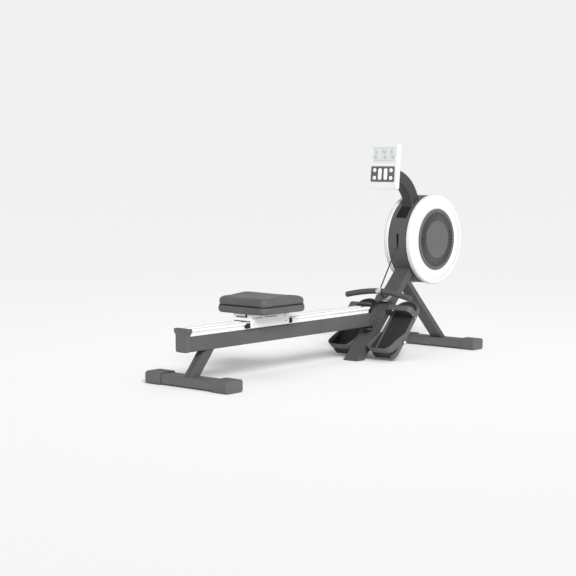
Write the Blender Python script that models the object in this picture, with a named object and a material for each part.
"""Folding rowing machine with a strap-driven flywheel drum.

Metres, +Z up, the origin on the floor under the middle of the machine. The
rower faces +X: the seat rail runs from -X to the post, the drum is at +X.
The machine is symmetric about the plane y = 0, apart from the drum's inside.
"""

from math import cos, pi, radians, sin, sqrt

import bmesh
import bpy
from mathutils import Matrix, Vector

# ---------------------------------------------------------------- dimensions
GAP = 0.0003                 # clearance between pieces that rest on each other
FRONT_FOOT_X = 0.965         # middle of the front stabiliser
REAR_FOOT_X = -0.975         # middle of the rear stabiliser
FOOT_HALF_SPAN = 0.257       # half the width over the foot caps
STABILISER_DEPTH = 0.090     # along X
STABILISER_BOTTOM = 0.004
STABILISER_TOP = 0.051
FRONT_CAP_DEPTH = 0.096
REAR_CAP_DEPTH = 0.108
CAP_TOP = 0.058
CAP_SLEEVE = 0.092           # how far a foot cap covers its tube
WHEEL_RADIUS = 0.0165

POST_REAR_X = 0.174          # where the post's rear face meets the floor
POST_WIDTH = 0.090
POST_DEPTH = 0.042           # square to its slope, which is 45 degrees
LEG_FRONT_SUM = 1.029        # x + z on the front leg's front face
LEG_DEPTH = 0.028
LEG_WIDTH = 0.070
WALL = 0.0025                # steel tube wall

RAIL_HALF_WIDTH = 0.035
RAIL_BOTTOM = 0.168
RAIL_TOP = 0.238
RAIL_REAR = -1.025
RAIL_FRONT = 0.322
TRACK_HALF_WIDTH = 0.046
TRACK_TOP = 0.272
TRACK_FRONT = 0.280
FOLD_PIN = Vector((0.315, 0.0, 0.203))
PIN_RADIUS = 0.006
PIN_BORE = 0.0063

DRUM = Vector((0.809, 0.0, 0.598))
DISC_RADIUS = 0.241
DISC_INNER = 0.0603          # |y| where a side disc starts
DISC_OUTER = 0.0886          # |y| of its outer face
BAND_RADIUS = 0.236
BAND_HALF_WIDTH = 0.060
GRILLE_RADIUS = 0.161
GRILLE_SLOTS = 30
HUB_RADIUS = 0.1005
FLYWHEEL_RADIUS = 0.158
SPOOL_RADIUS = 0.040

SLOT_BOTTOM = 0.560
SLOT_TOP = 0.634
SLOT_HALF_WIDTH = 0.0075
STRAP_EXIT = Vector((0.5705, 0.0, 0.566))
STRAP_WIDTH = 0.009
STRAP_THICKNESS = 0.0022
HANDLE = Vector((0.418, 0.0, 0.341))
HANDLE_HALF_SPAN = 0.214
HANDLE_DROP = 0.030          # how much lower the grips' ends are
HANDLE_SWEEP = 0.009         # how much further back they are
GRIP_RADIUS = 0.0150
GRIP_INNER = 0.0215

ARM_CENTRE = Vector((0.500, 0.0, 0.738))
ARM_INNER = 0.171
ARM_OUTER = 0.238
ARM_HALF_WIDTH = 0.034
CONSOLE_PIVOT = Vector((0.515, 0.0, 0.9425))
CONSOLE_LEAN = radians(5.0)
CONSOLE_FACE = -0.0747       # face plane, along the console's own X
CONSOLE_SEAM = -0.0560
CONSOLE_BACK = -0.0387
CONSOLE_MIDDLE = 0.0447      # height of the case's middle over the pivot
CONSOLE_WIDTH = 0.174
CONSOLE_HEIGHT = 0.238
LENS_WIDTH = 0.150
LENS_HEIGHT = 0.080
LENS_MIDDLE = 0.101
BUTTON_ROWS = (0.022, -0.018)
BUTTON_COLUMN = 0.0530
BUTTON_RADIUS = 0.0105
PILL_COLUMN = 0.0185
PILL_WIDTH = 0.022
PILL_HEIGHT = 0.061
BUTTON_PROUD = 0.0016

PEDAL_HEEL = Vector((0.272, 0.0, 0.014))
PEDAL_SLOPE = radians(48.0)
PEDAL_LENGTH = 0.365
PEDAL_THICKNESS = 0.020
PEDAL_INNER = 0.053          # |y| of the edge beside the post
PEDAL_OUTER = 0.203
PEDAL_PIVOT_RUN = 0.115      # pivot's distance from the heel end
CUP_HEIGHT = 0.072
CUP_RUN = 0.150
CUP_WALL = 0.005
PEDAL_LIP = 0.004            # raised edge round the plate
STRAP_RUN = (0.262, 0.295)   # where the toe strap crosses the pedal
STRAP_RISE = 0.062
TOE_STRAP_WALL = 0.003

SEAT_MIDDLE = -0.5075
SEAT_LENGTH = 0.312
SEAT_HALF_WIDTH = 0.154
SEAT_CORNER = 0.030
SEAT_BOTTOM = 0.308
SEAT_TOP = 0.384
SEAT_SEAM = 0.343
CARRIAGE_LENGTH = 0.276
CARRIAGE_HALF_WIDTH = 0.0545
CARRIAGE_TOP = 0.3077
CARRIAGE_SKIRT = 0.246
SHEET = 0.003
ROLLER_RADIUS = 0.013
ROLLER_OFFSET = 0.112        # axle's distance from the carriage's middle

# --------------------------------------------------------------- foundations
for leftover in list(bpy.data.objects):
    bpy.data.objects.remove(leftover, do_unlink=True)

FINISHES = {
    "frame_paint": ((0.155, 0.155, 0.157), 0.45, 0.3),
    "moulded_grey": ((0.150, 0.150, 0.152), 0.60, 0.0),
    "white_plastic": ((0.88, 0.88, 0.88), 0.35, 0.0),
    "grille_grey": ((0.095, 0.095, 0.097), 0.55, 0.0),
    "cap_grey": ((0.185, 0.185, 0.187), 0.50, 0.0),
    "black_rubber": ((0.020, 0.020, 0.020), 0.80, 0.0),
    "seat_grey": ((0.130, 0.130, 0.132), 0.65, 0.0),
    "track_aluminium": ((0.90, 0.90, 0.91), 0.30, 0.6),
    "bright_steel": ((0.75, 0.75, 0.76), 0.25, 1.0),
    "webbing": ((0.030, 0.030, 0.032), 0.85, 0.0),
    "lens": ((0.72, 0.75, 0.73), 0.15, 0.0),
    "cast_iron": ((0.08, 0.08, 0.08), 0.60, 0.8),
}


def finish(name):
    """The material of that name, made when it is first asked for."""
    found = bpy.data.materials.get(name)
    if found:
        return found
    colour, roughness, metallic = FINISHES[name]
    made = bpy.data.materials.new(name)
    made.use_nodes = True
    shader = made.node_tree.nodes["Principled BSDF"]
    shader.inputs["Base Color"].default_value = (*colour, 1.0)
    shader.inputs["Roughness"].default_value = roughness
    shader.inputs["Metallic"].default_value = metallic
    return made


def piece(name, shape, look, pivot=(0, 0, 0), smooth=30):
    """A named sub-part from a bmesh in world places, its origin at pivot."""
    bmesh.ops.translate(shape, verts=shape.verts, vec=-Vector(pivot))
    bmesh.ops.recalc_face_normals(shape, faces=shape.faces)
    mesh = bpy.data.meshes.new(name)
    shape.to_mesh(mesh)
    shape.free()
    mesh.shade_smooth()
    mesh.set_sharp_from_angle(angle=radians(smooth))
    mesh.materials.append(finish(look))
    made = bpy.data.objects.new(name, mesh)
    made.location = pivot
    bpy.context.collection.objects.link(made)
    return made


def helper(name, shape):
    """A shape that only cuts or joins another one."""
    made = piece(name, shape, "moulded_grey")
    made.hide_render = True
    made.display_type = "WIRE"
    return made


def combine(target, operation, *shapes):
    """Cut bmeshes from target, or join them to it."""
    for shape in shapes:
        tool = helper(f"{operation.lower()}_{target.name}_{len(target.modifiers)}", shape)
        step = target.modifiers.new(tool.name, "BOOLEAN")
        step.operation = operation
        step.solver = "EXACT"
        step.object = tool


def joint_empty(name, place, turn=(0, 0, 0)):
    """An empty on a joint's axis, which the moving pieces hang from."""
    made = bpy.data.objects.new(name, None)
    made.location = place
    made.rotation_euler = turn
    bpy.context.collection.objects.link(made)
    bpy.context.view_layer.update()
    return made


def hang(parent, *pieces):
    """Parent pieces without moving them."""
    for one in pieces:
        one.parent = parent
        one.matrix_parent_inverse = parent.matrix_world.inverted()


# ------------------------------------------------------------------ outlines
def arc(centre, radius, start, end, steps):
    """Points on an arc, angles in degrees."""
    angles = [radians(start + (end - start) * i / steps) for i in range(steps + 1)]
    return [(centre[0] + radius * cos(a), centre[1] + radius * sin(a)) for a in angles]


def circle(radius, centre=(0, 0), steps=24):
    return arc(centre, radius, 0, 360, steps)[:-1]


def rounded_rectangle(width, height, radius, centre=(0, 0), steps=3):
    points = []
    for index, (sx, sy) in enumerate(((1, 1), (-1, 1), (-1, -1), (1, -1))):
        corner = (centre[0] + sx * (width / 2 - radius), centre[1] + sy * (height / 2 - radius))
        points += arc(corner, radius, 90 * index, 90 * index + 90, steps)
    return points


# -------------------------------------------------------------------- solids
PLACE = {
    "X": lambda u, v, w: (w, u, v),
    "Y": lambda u, v, w: (u, w, v),
    "Z": lambda u, v, w: (u, v, w),
}


def extruded(outline, along, start, end, holes=()):
    """An outline drawn in the other two axes, drawn out along one axis."""
    shape = bmesh.new()
    ends = ([], [])
    for loop in (outline, *holes):
        rings = [[shape.verts.new(PLACE[along](u, v, w)) for u, v in loop] for w in (start, end)]
        for i in range(len(loop)):
            j = (i + 1) % len(loop)
            shape.faces.new((rings[0][i], rings[0][j], rings[1][j], rings[1][i]))
        for side in (0, 1):
            ring = rings[side]
            if holes:
                ends[side].extend(shape.edges.get((ring[i - 1], ring[i])) for i in range(len(ring)))
            else:
                shape.faces.new(ring)
    for edges in ends:
        if edges:
            bmesh.ops.triangle_fill(shape, use_beauty=True, edges=edges)
    return shape


def turned(profile, centre, steps=48, axis="Y", closed=True):
    """A (radius, height) profile turned about an axis through centre."""
    shape = bmesh.new()
    to_place = {"Y": lambda r, h: (r, h, 0), "X": lambda r, h: (h, r, 0), "Z": lambda r, h: (r, 0, h)}
    points = [shape.verts.new(Vector(to_place[axis](r, h)) + Vector(centre)) for r, h in profile]
    edges = [shape.edges.new(pair) for pair in zip(points, points[1:])]
    if closed:
        edges.append(shape.edges.new((points[-1], points[0])))
    directions = {"X": (1, 0, 0), "Y": (0, 1, 0), "Z": (0, 0, 1)}
    bmesh.ops.spin(
        shape, geom=points + edges, cent=centre, axis=directions[axis],
        angle=2 * pi, steps=steps, use_merge=True,
    )
    bmesh.ops.remove_doubles(shape, verts=shape.verts, dist=1e-6)
    return shape


def rod(radius, centre, start, end, steps=20, axis="Y"):
    """A plain round bar along an axis, from start to end on that axis."""
    return turned([(0, start), (radius, start), (radius, end), (0, end)], centre, steps, axis, closed=False)


def tube_outlines(width, height, radius, wall, centre):
    """Outer and inner outline of a rectangular tube."""
    outer = rounded_rectangle(width, height, radius, centre)
    inner = rounded_rectangle(width - 2 * wall, height - 2 * wall, radius - wall, centre)
    return outer, inner


def box(x, y, z):
    """A block between pairs of limits."""
    return extruded([(x[0], y[0]), (x[1], y[0]), (x[1], y[1]), (x[0], y[1])], "Z", *z)


def swept(route, outlines):
    """A tube through route points; outlines are rings of (side, up) offsets in order."""
    shape = bmesh.new()
    rings = []
    for i, here in enumerate(route):
        ahead = (route[min(i + 1, len(route) - 1)] - route[max(i - 1, 0)]).normalized()
        side = ahead.cross(Vector((0, 0, 1))).normalized()
        up = side.cross(ahead)
        rings.append([shape.verts.new(here + side * a + up * b) for a, b in outlines])
    for first, second in zip(rings, rings[1:]):
        for i in range(len(outlines)):
            j = (i + 1) % len(outlines)
            shape.faces.new((first[i], first[j], second[j], second[i]))
    shape.faces.new(rings[0])
    shape.faces.new(rings[-1])
    return shape


# --------------------------------------------------------------------- feet
SIDES = {"left": 1, "right": -1}
CAP_WALL = 0.004
CAP_INNER = FOOT_HALF_SPAN - CAP_SLEEVE
TUBE_HALF = FOOT_HALF_SPAN - CAP_WALL - GAP
STABILISER_MIDDLE = (STABILISER_TOP + STABILISER_BOTTOM) / 2
STABILISER_HEIGHT = STABILISER_TOP - STABILISER_BOTTOM


def stabiliser(name, x):
    outer, inner = tube_outlines(
        STABILISER_DEPTH, STABILISER_HEIGHT, 0.011, WALL, (x, STABILISER_MIDDLE)
    )
    return piece(name, extruded(outer, "Y", -TUBE_HALF, TUBE_HALF, [inner]), "frame_paint")


def foot_cap(name, x, depth, side):
    """A moulded cap that sleeves over the tube's end."""
    outline = rounded_rectangle(depth, CAP_TOP, 0.014, (x, CAP_TOP / 2), 4)
    cap = piece(name, extruded(outline, "Y", side * CAP_INNER, side * FOOT_HALF_SPAN), "moulded_grey")
    pocket = rounded_rectangle(
        STABILISER_DEPTH + 2 * GAP, STABILISER_HEIGHT + 2 * GAP, 0.011 + GAP, (x, STABILISER_MIDDLE)
    )
    mouth = side * (CAP_INNER - 0.01)
    combine(cap, "DIFFERENCE", extruded(pocket, "Y", mouth, side * (TUBE_HALF + GAP)))
    return cap


stabiliser("front_stabiliser", FRONT_FOOT_X)
rear_parts = [stabiliser("rear_stabiliser", REAR_FOOT_X)]
WHEEL_X = FRONT_FOOT_X + FRONT_CAP_DEPTH / 2 + WHEEL_RADIUS + 0.0025
WHEEL_Z = 0.024
WHEEL_FACES = (0.196, 0.214)
for word, side in SIDES.items():
    front_cap = foot_cap(f"front_foot_cap_{word}", FRONT_FOOT_X, FRONT_CAP_DEPTH, side)
    # lug and stub that carry the transport wheel
    lug = extruded(
        [(FRONT_FOOT_X + 0.0462, 0.012), (WHEEL_X, 0.016), (WHEEL_X + 0.007, WHEEL_Z),
         (WHEEL_X, 0.033), (FRONT_FOOT_X + 0.0462, 0.046)],
        "Y", side * (WHEEL_FACES[1] + 0.001), side * (WHEEL_FACES[1] + 0.009),
    )
    stub_faces = [side * (WHEEL_FACES[0] - 0.002), side * (WHEEL_FACES[1] + 0.005)]
    stub = rod(0.004, (WHEEL_X, 0, WHEEL_Z), *stub_faces)
    combine(front_cap, "UNION", lug, stub)
    wheel_profile = [
        (0.0043, WHEEL_FACES[0]), (WHEEL_RADIUS - 0.002, WHEEL_FACES[0]),
        (WHEEL_RADIUS, WHEEL_FACES[0] + 0.002), (WHEEL_RADIUS, WHEEL_FACES[1] - 0.002),
        (WHEEL_RADIUS - 0.002, WHEEL_FACES[1]), (0.0043, WHEEL_FACES[1]),
    ]
    wheel = turned([(r, side * h) for r, h in wheel_profile], (WHEEL_X, 0, WHEEL_Z), 28)
    piece(f"transport_wheel_{word}", wheel, "black_rubber", (WHEEL_X, 0, WHEEL_Z))
    rear_parts.append(foot_cap(f"rear_foot_cap_{word}", REAR_FOOT_X, REAR_CAP_DEPTH, side))

# ----------------------------------------------------------- post and front leg
SLOPE = Vector((1, 0, 1)).normalized()       # up the post
ACROSS = Vector((1, 0, -1)).normalized()     # from the post's rear face to its front
POST_FOOT = Vector((POST_REAR_X, 0, 0))
YOKE_REACH = 0.1870                          # post's top end from the drum's axis
post_top = (DRUM - POST_FOOT).dot(SLOPE) - YOKE_REACH


def on_post(along, across):
    """World (x, z) of a place along the post's rear face and into its depth."""
    place = POST_FOOT + SLOPE * along + ACROSS * across
    return place.x, place.z


def on_leg(along, across):
    """World (x, z) down the front leg from the post, and back from its front face."""
    top = Vector(((LEG_FRONT_SUM + POST_REAR_X + POST_DEPTH * sqrt(2)) / 2, 0, 0))
    top.z = LEG_FRONT_SUM - top.x
    place = top + ACROSS * (along + GAP) - SLOPE * across
    return place.x, place.z


post = piece(
    "main_post",
    extruded(
        [on_post(0, 0), on_post(post_top, 0), on_post(post_top, POST_DEPTH),
         on_post(POST_DEPTH, POST_DEPTH)],
        "Y", -POST_WIDTH / 2, POST_WIDTH / 2,
    ),
    "frame_paint",
)
PEDAL_UP = Vector((cos(PEDAL_SLOPE), 0, sin(PEDAL_SLOPE)))
PEDAL_OUT = Vector((-sin(PEDAL_SLOPE), 0, cos(PEDAL_SLOPE)))
PEDAL_AXLE = PEDAL_HEEL + PEDAL_UP * PEDAL_PIVOT_RUN - PEDAL_OUT * (PEDAL_THICKNESS / 2 + 0.001)
# hollow of the tube, open at its top end
hollow = [on_post(0.02, WALL), on_post(post_top + 0.01, WALL),
          on_post(post_top + 0.01, POST_DEPTH - WALL), on_post(0.06, POST_DEPTH - WALL)]
axle_along = (PEDAL_AXLE - POST_FOOT).dot(SLOPE)
axle_across = (PEDAL_AXLE - POST_FOOT).dot(ACROSS)
lug = extruded(
    [on_post(axle_along - 0.020, POST_DEPTH - 0.002), on_post(axle_along - 0.014, axle_across + 0.012),
     on_post(axle_along + 0.014, axle_across + 0.012), on_post(axle_along + 0.020, POST_DEPTH - 0.002)],
    "Y", -0.030, 0.030,
)
combine(post, "UNION", lug)
combine(
    post, "DIFFERENCE",
    extruded(hollow, "Y", -POST_WIDTH / 2 + WALL, POST_WIDTH / 2 - WALL),
    rod(PIN_BORE, (PEDAL_AXLE.x, 0, PEDAL_AXLE.z), -0.05, 0.05),
)
axle_profile = [
    (0, -0.2155), (0.0085, -0.2155), (0.0100, -0.2140), (0.0100, -0.2036), (PIN_RADIUS, -0.2036),
    (PIN_RADIUS, 0.2036), (0.0100, 0.2036), (0.0100, 0.2140), (0.0085, 0.2155), (0, 0.2155),
]
piece("pedal_axle", turned(axle_profile, (PEDAL_AXLE.x, 0, PEDAL_AXLE.z), 20, closed=False), "bright_steel")

leg_length = (on_leg(0, 0)[1] - STABILISER_TOP - GAP) * sqrt(2)
leg_heel = (on_leg(0, LEG_DEPTH)[1] - STABILISER_TOP - GAP) * sqrt(2)
leg = piece(
    "front_leg",
    extruded(
        [on_leg(0, 0), on_leg(leg_length, 0), on_leg(leg_heel, LEG_DEPTH), on_leg(0, LEG_DEPTH)],
        "Y", -LEG_WIDTH / 2, LEG_WIDTH / 2,
    ),
    "frame_paint",
)
combine(
    leg, "DIFFERENCE",
    extruded(
        [on_leg(-0.01, WALL), on_leg(leg_length + 0.02, WALL),
         on_leg(leg_heel + 0.02, LEG_DEPTH - WALL), on_leg(-0.01, LEG_DEPTH - WALL)],
        "Y", -LEG_WIDTH / 2 + WALL, LEG_WIDTH / 2 - WALL,
    ),
)

# ------------------------------------------------------- rail bracket and pin
BRACKET_INNER = RAIL_HALF_WIDTH + 0.0008
BRACKET_OUTER = BRACKET_INNER + 0.004
BRACKET_TOP = 0.210
BRACKET_BOTTOM = 0.150
FACE_GAP = GAP * sqrt(2)


def post_face(z):
    return POST_REAR_X + z - FACE_GAP


bracket = piece(
    "rail_bracket",
    extruded(
        [(0.245, 0.176), (0.245, 0.226), (0.300, 0.233),
         *arc((FOLD_PIN.x, FOLD_PIN.z), 0.031, 90, 25, 5),
         (post_face(BRACKET_TOP), BRACKET_TOP), (post_face(BRACKET_BOTTOM), BRACKET_BOTTOM),
         (0.285, BRACKET_BOTTOM), (0.265, 0.160)],
        "Y", -BRACKET_OUTER, BRACKET_OUTER,
    ),
    "frame_paint",
)
LOCK = Vector((0.262, 0.0, 0.203))
combine(
    bracket, "DIFFERENCE",
    box((0.20, 0.50), (-BRACKET_INNER, BRACKET_INNER), (0.158, 0.30)),
    rod(PIN_BORE, FOLD_PIN, -0.06, 0.06),
    rod(0.0043, LOCK, 0.02, 0.06),
)
PIN_HEAD = BRACKET_OUTER + GAP
pin_profile = [(0, -PIN_HEAD - 0.005), (0.009, -PIN_HEAD - 0.005), (0.010, -PIN_HEAD - 0.004),
               (0.010, -PIN_HEAD), (PIN_RADIUS, -PIN_HEAD)]
pin_profile += [(r, -h) for r, h in reversed(pin_profile)]
piece("fold_pin", turned(pin_profile, FOLD_PIN, 20, closed=False), "bright_steel")

knob_profile = [
    (0, RAIL_HALF_WIDTH + 0.0006), (0.004, RAIL_HALF_WIDTH + 0.0006), (0.004, PIN_HEAD), (0.011, PIN_HEAD),
    (0.014, PIN_HEAD + 0.005), (0.014, PIN_HEAD + 0.015), (0.011, PIN_HEAD + 0.018), (0, PIN_HEAD + 0.018),
]
piece("fold_lock_knob", turned(knob_profile, LOCK, 20, closed=False), "black_rubber", LOCK)

# ----------------------------------------------------------------- seat rail
rail_middle = (RAIL_BOTTOM + RAIL_TOP) / 2
rail_outer, rail_inner = tube_outlines(
    2 * RAIL_HALF_WIDTH, RAIL_TOP - RAIL_BOTTOM, 0.006, WALL, (0, rail_middle)
)
rail = piece("rail_tube", extruded(rail_outer, "X", RAIL_REAR, RAIL_FRONT, [rail_inner]), "frame_paint")
combine(rail, "DIFFERENCE", rod(PIN_BORE, FOLD_PIN, -0.06, 0.06))

track_base = RAIL_TOP + GAP
half_track = [
    (0.033, track_base), (0.036, track_base + 0.003), (0.036, 0.254), (0.0385, 0.259),
    (TRACK_HALF_WIDTH - 0.001, 0.261), (TRACK_HALF_WIDTH, 0.263), (TRACK_HALF_WIDTH, TRACK_TOP - 0.001),
    (TRACK_HALF_WIDTH - 0.001, TRACK_TOP), (0.014, TRACK_TOP), (0.011, TRACK_TOP - 0.004),
]
track_outline = half_track + [(-y, z) for y, z in reversed(half_track)]
track_void = rounded_rectangle(0.060, 0.018, 0.003, (0, 0.2525), 2)
track = piece(
    "rail_track", extruded(track_outline, "X", RAIL_REAR, TRACK_FRONT, [track_void]), "track_aluminium"
)
stop_outline = [
    (-0.036, track_base), (0.036, track_base), (0.036, 0.256), (TRACK_HALF_WIDTH, 0.261),
    (TRACK_HALF_WIDTH, 0.278), (0.040, 0.284), (-0.040, 0.284), (-TRACK_HALF_WIDTH, 0.278),
    (-TRACK_HALF_WIDTH, 0.261), (-0.036, 0.256),
]
stop = piece("rail_stop", extruded(stop_outline, "X", TRACK_FRONT + GAP, 0.309), "black_rubber")

# end cap: straight below, flared over the track, with a plug in the tube
cap_half = [
    *arc((0.024, 0.178), 0.012, -90, 0, 4), (0.037, 0.232), (0.045, 0.250), (0.0525, 0.264),
    (0.0525, 0.272), (0.0495, 0.275),
]
cap_outline = cap_half + [(-y, z) for y, z in reversed(cap_half)]
end_cap = piece("rail_end_cap", extruded(cap_outline, "X", -1.050, RAIL_REAR - GAP), "moulded_grey")
plug = rounded_rectangle(
    2 * (RAIL_HALF_WIDTH - WALL - GAP), RAIL_TOP - RAIL_BOTTOM - 2 * (WALL + GAP), 0.003, (0, rail_middle)
)
combine(end_cap, "UNION", extruded(plug, "X", RAIL_REAR - 0.005, RAIL_REAR + 0.022))

# rear leg: a tube with a double groove down its two rear edges
LEG_FOOT = Vector((-0.985, 0, STABILISER_TOP + GAP))
LEG_TOP = Vector((-0.888, 0, RAIL_BOTTOM - GAP))
groove_half = [
    (0.0145, -0.0275), (0.0160, -0.0235), (0.0180, -0.0235), (0.0190, -0.0265), (0.0205, -0.0265),
    (0.0215, -0.0215), (0.0235, -0.0215), (0.0255, -0.0250), (0.0265, -0.0235), (0.0265, 0.0255),
    (0.0245, 0.0275),
]
leg_section = groove_half + [(-y, x) for y, x in reversed(groove_half)]
leg_void = rounded_rectangle(0.034, 0.030, 0.003, (0, 0.004), 2)


def sheared(outline, lower, upper, holes):
    """An upright extrusion of a (y, x) outline, pushed over so that it leans."""
    voids = [[(x, y) for y, x in hole] for hole in holes]
    shape = extruded([(x, y) for y, x in outline], "Z", lower.z, upper.z, voids)
    lean = (upper.x - lower.x) / (upper.z - lower.z)
    for vert in shape.verts:
        vert.co.x += lower.x + lean * (vert.co.z - lower.z)
    return shape


rear_leg = piece("rear_leg", sheared(leg_section, LEG_FOOT, LEG_TOP, [leg_void]), "frame_paint")

# ------------------------------------------------------------ seat carriage
half_carriage = CARRIAGE_LENGTH / 2
carriage_x = (SEAT_MIDDLE - half_carriage, SEAT_MIDDLE + half_carriage)
outer_sheet = [
    (-CARRIAGE_HALF_WIDTH, CARRIAGE_SKIRT), (-CARRIAGE_HALF_WIDTH, CARRIAGE_TOP - 0.003),
    (-CARRIAGE_HALF_WIDTH + 0.003, CARRIAGE_TOP), (CARRIAGE_HALF_WIDTH - 0.003, CARRIAGE_TOP),
    (CARRIAGE_HALF_WIDTH, CARRIAGE_TOP - 0.003), (CARRIAGE_HALF_WIDTH, CARRIAGE_SKIRT),
]
inner_sheet = [
    (CARRIAGE_HALF_WIDTH - SHEET, CARRIAGE_SKIRT), (CARRIAGE_HALF_WIDTH - SHEET, CARRIAGE_TOP - SHEET),
    (-CARRIAGE_HALF_WIDTH + SHEET, CARRIAGE_TOP - SHEET), (-CARRIAGE_HALF_WIDTH + SHEET, CARRIAGE_SKIRT),
]
carriage = piece("carriage", extruded(outer_sheet + inner_sheet, "X", *carriage_x), "track_aluminium")
ROLLER_Z = TRACK_TOP + GAP + ROLLER_RADIUS
seat_parts = [carriage]
rollers = []
for end, where in (("rear", -ROLLER_OFFSET), ("front", ROLLER_OFFSET)):
    place = Vector((SEAT_MIDDLE + where, 0, ROLLER_Z))
    combine(carriage, "DIFFERENCE", rod(0.0043, place, -0.07, 0.07, 16))
    half_axle = [(0.004, 0), (0.004, 0.0548), (0.007, 0.0548), (0.007, 0.0585), (0, 0.0585)]
    whole_axle = [(r, -h) for r, h in reversed(half_axle[1:])] + half_axle[1:]
    axle = piece(f"roller_axle_{end}", turned(whole_axle, place, 16, closed=False), "bright_steel", place)
    seat_parts.append(axle)
    for word, side in SIDES.items():
        faces = (0.024, 0.042)
        ring = [
            (0.0043, side * faces[0]), (ROLLER_RADIUS - 0.0015, side * faces[0]),
            (ROLLER_RADIUS, side * (faces[0] + 0.0015)), (ROLLER_RADIUS, side * (faces[1] - 0.0015)),
            (ROLLER_RADIUS - 0.0015, side * faces[1]), (0.0043, side * faces[1]),
        ]
        rollers.append(piece(f"roller_{end}_{word}", turned(ring, place, 28), "black_rubber", place))

# ---------------------------------------------------------------- seat pad
base_top = SEAT_SEAM - GAP
seat_base = piece(
    "seat_base",
    extruded(
        rounded_rectangle(SEAT_LENGTH, 2 * SEAT_HALF_WIDTH, SEAT_CORNER, (SEAT_MIDDLE, 0), 5),
        "Z", SEAT_BOTTOM, base_top,
    ),
    "seat_grey",
)
cushion = piece(
    "seat_cushion",
    extruded(
        rounded_rectangle(SEAT_LENGTH, 2 * SEAT_HALF_WIDTH, SEAT_CORNER, (SEAT_MIDDLE, 0), 5),
        "Z", SEAT_SEAM, SEAT_TOP,
    ),
    "seat_grey",
)
bevel = cushion.modifiers.new("soft edge", "BEVEL")
bevel.width = 0.012
bevel.segments = 3
bevel.limit_method = "ANGLE"
seat_parts += [seat_base, cushion]

# ------------------------------------------------------------------- pedals
def laid_on_pedal(shape):
    """Turn a shape drawn as (run, y, rise) onto the plate's slope."""
    turn = Matrix(((PEDAL_UP.x, 0, PEDAL_OUT.x), (0, 1, 0), (PEDAL_UP.z, 0, PEDAL_OUT.z)))
    bmesh.ops.transform(shape, matrix=Matrix.Translation(PEDAL_HEEL) @ turn.to_4x4(), verts=shape.verts)
    return shape


PEDAL_MIDDLE = (PEDAL_INNER + PEDAL_OUTER) / 2
PEDAL_HALF = (PEDAL_OUTER - PEDAL_INNER) / 2


def sole_outline(inset, side):
    """Round at the toe, softly squared at the heel, as (run, y)."""
    half = PEDAL_HALF - inset
    toe_centre = PEDAL_LENGTH - 0.060
    toe = [(toe_centre + (0.060 - inset) * sin(a), half * cos(a)) for a in (pi * i / 12 for i in range(13))]
    heel_radius = 0.034 - inset
    low = 0.010 + inset + heel_radius
    heel = arc((low, -half + heel_radius), heel_radius, -90, -180, 4)
    heel += arc((low, half - heel_radius), heel_radius, 180, 90, 4)
    return [(run, side * PEDAL_MIDDLE + y) for run, y in toe + heel]


for word, side in SIDES.items():
    block = laid_on_pedal(extruded(sole_outline(0.0, side), "Z", -PEDAL_THICKNESS, CUP_HEIGHT))
    pedal = piece(f"pedal_{word}", block, "moulded_grey", PEDAL_AXLE)
    middle = side * PEDAL_MIDDLE
    above_wall = extruded(
        [(-0.02, CUP_HEIGHT + 0.03), (-0.02, CUP_HEIGHT + 0.001), (0.050, CUP_HEIGHT - 0.006),
         (CUP_RUN, PEDAL_LIP), (PEDAL_LENGTH + 0.05, PEDAL_LIP), (PEDAL_LENGTH + 0.05, CUP_HEIGHT + 0.03)],
        "Y", middle - 0.12, middle + 0.12,
    )
    hollow_cup = extruded(sole_outline(CUP_WALL, side), "Z", 0.0, CUP_HEIGHT + 0.05)
    combine(pedal, "DIFFERENCE", laid_on_pedal(above_wall), laid_on_pedal(hollow_cup))
    bore = rod(PIN_BORE, (PEDAL_AXLE.x, 0, PEDAL_AXLE.z), middle - 0.12, middle + 0.12)
    combine(pedal, "DIFFERENCE", bore)

    low, high = PEDAL_INNER - GAP, PEDAL_OUTER + GAP
    over = STRAP_RISE - 0.020
    inside = [(low, -0.012), (low, over), *arc((low + 0.020, over), 0.020, 180, 90, 4)[1:],
              *arc((high - 0.026, over - 0.006), 0.026, 90, 0, 4), (high, -0.016)]
    wall = TOE_STRAP_WALL
    outside = [(high + wall, -0.016), *arc((high - 0.026, over - 0.006), 0.026 + wall, 0, 90, 4),
               *arc((low + 0.020, over), 0.020 + wall, 90, 180, 4), (low - wall, -0.012)]
    band = extruded([(side * y, rise) for y, rise in inside + outside], "X", *STRAP_RUN)
    toe_strap = piece(f"toe_strap_{word}", laid_on_pedal(band), "moulded_grey", PEDAL_AXLE)
    pivot = joint_empty(f"pedal_{word}_tilt", PEDAL_AXLE)
    hang(pivot, pedal, toe_strap)

# --------------------------------------------------------------------- drum
def drum_point(radius, angle):
    """World (x, z) at an angle in degrees about the drum's axis."""
    return DRUM.x + radius * cos(radians(angle)), DRUM.z + radius * sin(radians(angle))


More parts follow.
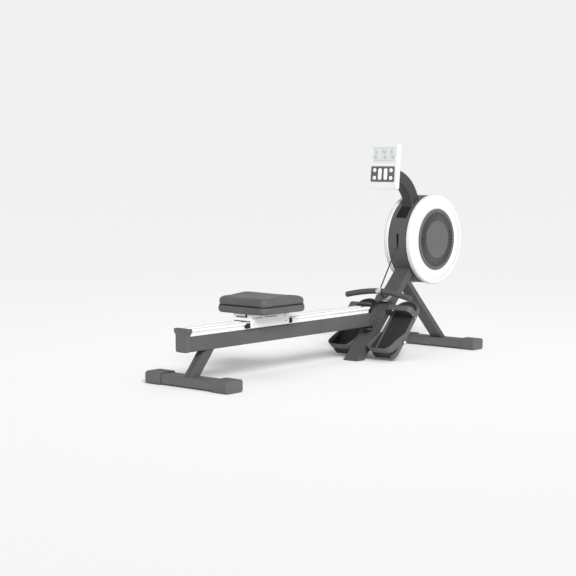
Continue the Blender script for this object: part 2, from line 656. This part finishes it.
DRUM_XZ = (DRUM.x, DRUM.z)
BAND_WALL = 0.003
band = piece(
    "drum_band",
    extruded(
        circle(BAND_RADIUS, DRUM_XZ, 72), "Y", -BAND_HALF_WIDTH, BAND_HALF_WIDTH,
        [circle(BAND_RADIUS - BAND_WALL, DRUM_XZ, 72)],
    ),
    "moulded_grey",
)
combine(
    band, "DIFFERENCE",
    box((0.50, 0.62), (-SLOT_HALF_WIDTH, SLOT_HALF_WIDTH), (SLOT_BOTTOM, SLOT_TOP)),
    extruded(
        [on_post(post_top - 0.12, -GAP), on_post(post_top + 0.02, -GAP),
         on_post(post_top + 0.02, POST_DEPTH + GAP), on_post(post_top - 0.12, POST_DEPTH + GAP)],
        "Y", -BAND_HALF_WIDTH - 0.01, BAND_HALF_WIDTH + 0.01,
    ),
)
VENT_ANGLES = [139.0 + 4.2 * i for i in range(5)]
for angle in VENT_ANGLES:
    slit = [drum_point(r, angle + a) for r, a in ((0.22, -1.1), (0.25, -1.1), (0.25, 1.1), (0.22, 1.1))]
    combine(band, "DIFFERENCE", extruded(slit, "Y", -0.034, 0.034))

LIP = 0.0085
for word, side in SIDES.items():
    rim = arc((DISC_RADIUS - 0.010, DISC_OUTER - 0.010), 0.010, 0, 90, 4)
    inner_rim = arc((DISC_RADIUS - 0.010, DISC_OUTER - 0.010), 0.007, 90, 0, 4)
    disc_profile = [
        (DISC_RADIUS - LIP, DISC_INNER), (DISC_RADIUS, DISC_INNER), *rim, (0.152, DISC_OUTER),
        (0.152, DISC_OUTER - 0.003), *inner_rim, (DISC_RADIUS - 0.003, DISC_INNER + 0.004),
        (DISC_RADIUS - LIP, DISC_INNER + 0.004),
    ]
    disc = turned([(r, side * h) for r, h in disc_profile], DRUM, 64)
    piece(f"disc_{word}", disc, "white_plastic")

    slots = []
    for i in range(GRILLE_SLOTS):
        start = 360 * i / GRILLE_SLOTS
        corners = ((0.1075, 0), (0.146, 0), (0.146, 5.4), (0.1075, 5.4))
        slots.append([drum_point(r, start + a) for r, a in corners])
    bore = circle(0.060, DRUM_XZ, 24)
    face = DISC_OUTER + GAP
    ring = extruded(
        circle(GRILLE_RADIUS, DRUM_XZ, 60), "Y", side * face, side * (face + 0.0036), [bore, *slots]
    )
    piece(f"grille_{word}", ring, "grille_grey")
    hub_face = face + 0.0036 + GAP
    hub = [(0, hub_face), (HUB_RADIUS, hub_face), (HUB_RADIUS, hub_face + 0.0015),
           (HUB_RADIUS - 0.004, hub_face + 0.0032), (0, hub_face + 0.0040)]
    piece(f"hub_cap_{word}", turned([(r, side * h) for r, h in hub], DRUM, 48, closed=False), "cap_grey")

# fork on the post's end that holds the drum's axle
YOKE_INNER = POST_WIDTH / 2 + GAP
YOKE_OUTER = YOKE_INNER + 0.004
along_axle = (DRUM - POST_FOOT).dot(SLOPE)
across_axle = (DRUM - POST_FOOT).dot(ACROSS)
tip = arc((along_axle, across_axle), 0.024, -90, 90, 8)
fork_outline = [on_post(post_top - 0.045, 0.003), *[on_post(a, c) for a, c in tip],
                on_post(post_top - 0.045, POST_DEPTH - 0.003)]
yoke = piece("axle_yoke", extruded(fork_outline, "Y", -YOKE_OUTER, YOKE_OUTER), "frame_paint")
yoke_web = post_top + GAP
room = [on_post(yoke_web + 0.006, -0.05), on_post(along_axle + 0.10, -0.05),
        on_post(along_axle + 0.10, 0.10), on_post(yoke_web + 0.006, 0.10)]
seat_room = [on_post(post_top - 0.08, -0.02), on_post(yoke_web, -0.02),
             on_post(yoke_web, POST_DEPTH + 0.02), on_post(post_top - 0.08, POST_DEPTH + 0.02)]
combine(
    yoke, "DIFFERENCE",
    extruded(room, "Y", -YOKE_INNER, YOKE_INNER),
    extruded(seat_room, "Y", -YOKE_INNER, YOKE_INNER),
    rod(0.0088, DRUM, -0.08, 0.08),
)
nut = YOKE_OUTER + GAP
axle_half = [(0.0085, nut), (0.0135, nut), (0.0135, nut + 0.007), (0, nut + 0.007)]
drum_axle = [(r, -h) for r, h in reversed(axle_half)] + axle_half
piece("drum_axle", turned(drum_axle, DRUM, 20, closed=False), "bright_steel")

wheel_profile = [
    (0.0088, 0.0185), (0.022, 0.0185), (0.022, 0.0275), (0.132, 0.0275), (0.132, 0.0190),
    (FLYWHEEL_RADIUS, 0.0190), (FLYWHEEL_RADIUS, 0.0420), (0.132, 0.0420), (0.132, 0.0335),
    (0.022, 0.0335), (0.022, 0.0430), (0.0088, 0.0430),
]
piece("flywheel", turned(wheel_profile, DRUM, 56), "cast_iron", DRUM)
spool_profile = [
    (0.0088, -0.0150), (0.056, -0.0150), (0.056, -0.0120), (SPOOL_RADIUS, -0.0120), (SPOOL_RADIUS, 0.0120),
    (0.056, 0.0120), (0.056, 0.0150), (0.0088, 0.0150),
]
piece("strap_spool", turned(spool_profile, DRUM, 40), "moulded_grey", DRUM)
MAGNET_OUTER = 0.1791
magnet_arc = [drum_point(FLYWHEEL_RADIUS + 0.0025, a) for a in range(213, 238, 4)]
magnet_back = [drum_point(MAGNET_OUTER, a) for a in range(233, 216, -4)]
piece("brake_magnet", extruded(magnet_arc + magnet_back, "Y", 0.0175, 0.0430), "cast_iron")

# -------------------------------------------------------------- console arm
ARM_XZ = (ARM_CENTRE.x, ARM_CENTRE.z)
ARM_END_ANGLE = 85.8
ARM_BASE_ANGLE = 14.0
end_centre = (CONSOLE_PIVOT.x, CONSOLE_PIVOT.z)
arm_outline = (
    arc(ARM_XZ, ARM_OUTER, ARM_BASE_ANGLE, ARM_END_ANGLE, 14)
    + arc(end_centre, (ARM_OUTER - ARM_INNER) / 2 - 0.001, ARM_END_ANGLE, ARM_END_ANGLE + 180, 8)[1:-1]
    + arc(ARM_XZ, ARM_INNER, ARM_END_ANGLE, ARM_BASE_ANGLE, 12)
)
arm_solid = extruded(arm_outline, "Y", -ARM_HALF_WIDTH, ARM_HALF_WIDTH)
console_arm = piece("console_arm", arm_solid, "moulded_grey")
arm_edge = console_arm.modifiers.new("edges", "BEVEL")
arm_edge.width = 0.006
arm_edge.segments = 2
arm_edge.limit_method = "ANGLE"
arm_edge.angle_limit = radians(50)
combine(
    console_arm, "DIFFERENCE",
    extruded(circle(BAND_RADIUS + GAP, DRUM_XZ, 96), "Y", -0.1, 0.1),
    rod(0.0053, CONSOLE_PIVOT, -0.06, 0.06),
)
EAR_INNER = ARM_HALF_WIDTH + 0.0005
EAR_OUTER = EAR_INNER + 0.006
PIN_HEAD = EAR_OUTER + 0.0035
pin_half = [(0.005, EAR_OUTER + GAP), (0.009, EAR_OUTER + GAP), (0.009, PIN_HEAD), (0, PIN_HEAD)]
console_pin = [(r, -h) for r, h in reversed(pin_half)] + pin_half
piece("console_pin", turned(console_pin, CONSOLE_PIVOT, 16, closed=False), "bright_steel", CONSOLE_PIVOT)

# ------------------------------------------------------------------ console
LEAN = Matrix.Rotation(CONSOLE_LEAN, 4, "Y")
console_tilt = joint_empty("console_tilt", CONSOLE_PIVOT)


def leant(shape):
    """Place a shape that is drawn in the console's own upright frame."""
    bmesh.ops.transform(shape, matrix=Matrix.Translation(CONSOLE_PIVOT) @ LEAN, verts=shape.verts)
    return shape


def face_outline(width, height, radius, y=0.0, z=0.0, steps=4):
    return rounded_rectangle(width, height, radius, (y, z), steps)


def faceplate(width, height, radius, start, end, y=0.0, z=0.0, steps=4):
    return leant(extruded(face_outline(width, height, radius, y, z, steps), "X", start, end))


case_back = piece(
    "console_back",
    faceplate(CONSOLE_WIDTH, CONSOLE_HEIGHT, 0.010, CONSOLE_SEAM + GAP, CONSOLE_BACK, z=CONSOLE_MIDDLE),
    "white_plastic", CONSOLE_PIVOT,
)
EAR_ROOT = CONSOLE_BACK - 0.003
ear_outline = [(EAR_ROOT, -0.016), *arc((0, 0), 0.014, -90, 90, 8), (EAR_ROOT, 0.016)]
for side in SIDES.values():
    combine(
        case_back, "UNION",
        leant(extruded(ear_outline, "Y", side * EAR_INNER, side * EAR_OUTER)),
    )
combine(
    case_back, "DIFFERENCE",
    faceplate(
        CONSOLE_WIDTH - 0.006, CONSOLE_HEIGHT - 0.006, 0.007, CONSOLE_SEAM - 0.01, CONSOLE_BACK - 0.0035,
        z=CONSOLE_MIDDLE,
    ),
    rod(0.0053, CONSOLE_PIVOT, -0.06, 0.06),
)
case_front = piece(
    "console_front",
    faceplate(CONSOLE_WIDTH, CONSOLE_HEIGHT, 0.010, CONSOLE_FACE, CONSOLE_SEAM, z=CONSOLE_MIDDLE),
    "white_plastic", CONSOLE_PIVOT,
)
combine(
    case_front, "DIFFERENCE",
    faceplate(
        CONSOLE_WIDTH - 0.006, CONSOLE_HEIGHT - 0.006, 0.007, CONSOLE_FACE + 0.003, CONSOLE_SEAM + 0.01,
        z=CONSOLE_MIDDLE,
    ),
    faceplate(LENS_WIDTH, LENS_HEIGHT, 0.004, CONSOLE_FACE - 0.01, CONSOLE_FACE + 0.01, z=LENS_MIDDLE),
)
lens = piece(
    "display_lens",
    faceplate(
        LENS_WIDTH - 2 * GAP, LENS_HEIGHT - 2 * GAP, 0.004 - GAP,
        CONSOLE_FACE + 0.0006, CONSOLE_FACE + 0.0026, z=LENS_MIDDLE,
    ),
    "lens", CONSOLE_PIVOT,
)
hang(console_tilt, case_back, case_front, lens)


def button(name, y, z, width, height):
    """A push button in a close hole of the console's face."""
    middle = LEAN @ Vector((CONSOLE_FACE, y, z)) + CONSOLE_PIVOT
    start = CONSOLE_FACE - BUTTON_PROUD
    body = faceplate(width, height, width / 2 - 1e-5, start, start + 0.0075, y, z, 5)
    made = piece(name, body, "white_plastic", middle)
    hole_ends = (CONSOLE_FACE - 0.01, CONSOLE_FACE + 0.01)
    hole = faceplate(width + 0.0012, height + 0.0012, width / 2 + 0.00059, *hole_ends, y, z, 5)
    combine(case_front, "DIFFERENCE", hole)
    hang(console_tilt, made)


for column, y in (("left", BUTTON_COLUMN), ("right", -BUTTON_COLUMN)):
    for row, z in zip(("upper", "lower"), BUTTON_ROWS):
        button(f"button_{row}_{column}", y, z, 2 * BUTTON_RADIUS, 2 * BUTTON_RADIUS)
row_middle = sum(BUTTON_ROWS) / 2
button("button_long_left", PILL_COLUMN, row_middle, PILL_WIDTH, PILL_HEIGHT)
button("button_long_right", -PILL_COLUMN, row_middle, PILL_WIDTH, PILL_HEIGHT)

# ------------------------------------------------------- handle and its strap
def handle_route(start, end, steps):
    """Middle line of the handlebar: drooping and swept back towards its ends."""
    points = []
    for i in range(steps + 1):
        y = start + (end - start) * i / steps
        share = (abs(y) / HANDLE_HALF_SPAN) ** 1.7
        points.append(HANDLE + Vector((-HANDLE_SWEEP * share, y, -HANDLE_DROP * share)))
    return points


strap_line = (HANDLE - STRAP_EXIT).normalized()
handle_bar = piece(
    "handle_bar",
    swept(handle_route(-HANDLE_HALF_SPAN + 0.004, HANDLE_HALF_SPAN - 0.004, 20), circle(0.011, steps=12)),
    "bright_steel", STRAP_EXIT,
)
sleeve = rod(0.0140, HANDLE, -0.0200, 0.0200, 20)
tongue_turn = Matrix(((-strap_line.x, 0, -strap_line.z), (0, 1, 0), (-strap_line.z, 0, strap_line.x)))
tongue = box((0.0, 0.034), (-0.010, 0.010), (-0.0035, 0.0035))
bmesh.ops.transform(tongue, matrix=Matrix.Translation(HANDLE) @ tongue_turn.to_4x4(), verts=tongue.verts)
combine(handle_bar, "UNION", sleeve, tongue)
handle_parts = [handle_bar]
for word, side in SIDES.items():
    route = handle_route(side * GRIP_INNER, side * HANDLE_HALF_SPAN, 8)
    grip = piece(f"grip_{word}", swept(route, circle(GRIP_RADIUS, steps=16)), "black_rubber", STRAP_EXIT)
    reach = handle_route(side * (GRIP_INNER - 0.005), side * (HANDLE_HALF_SPAN - 0.0035), 10)
    combine(grip, "DIFFERENCE", swept(reach, circle(0.0113, steps=12)))
    handle_parts.append(grip)

strap_start = STRAP_EXIT + strap_line * 0.006
strap_end = HANDLE - strap_line * (0.034 + GAP)
strap_length = (strap_end - strap_start).length
half_width, half_thick = STRAP_WIDTH / 2, STRAP_THICKNESS / 2
strap = box((0.0, strap_length), (-half_width, half_width), (-half_thick, half_thick))
strap_turn = Matrix(((strap_line.x, 0, -strap_line.z), (0, 1, 0), (strap_line.z, 0, strap_line.x)))
bmesh.ops.transform(strap, matrix=Matrix.Translation(strap_start) @ strap_turn.to_4x4(), verts=strap.verts)
pull_strap = piece("pull_strap", strap, "webbing", STRAP_EXIT)
handle_lift = joint_empty("handle_lift", STRAP_EXIT)
hang(handle_lift, pull_strap, *handle_parts)

# shelf on the post that the handle is parked on
SHELF_TOP = 0.300
SHELF_BOTTOM = 0.288
cradle = HANDLE.z - 0.0140 - 0.0006
holder_outline = [
    (0.392, SHELF_BOTTOM), (post_face(SHELF_BOTTOM), SHELF_BOTTOM), (post_face(0.330), 0.330),
    (0.452, SHELF_TOP + 0.004), (0.437, cradle + 0.008), (0.429, cradle + 0.001), (0.418, cradle - 0.002),
    (0.405, cradle - 0.004), (0.392, SHELF_TOP),
]
piece("handle_holder", extruded(holder_outline, "Y", -0.0185, 0.0185), "bright_steel")

# --------------------------------------------------- what moves with the rail
rail_fold = joint_empty("rail_fold", FOLD_PIN)
hang(rail_fold, rail, track, stop, end_cap, rear_leg, *rear_parts)
seat_slide = joint_empty("seat_slide", (SEAT_MIDDLE, 0, CARRIAGE_TOP))
hang(seat_slide, *seat_parts, *rollers)
hang(rail_fold, seat_slide)

# flat faces stay flat in shading where they were cut
for made in bpy.data.objects:
    if made.type == "MESH" and not made.hide_render and made.modifiers:
        made.modifiers.new("face shading", "WEIGHTED_NORMAL").keep_sharp = True
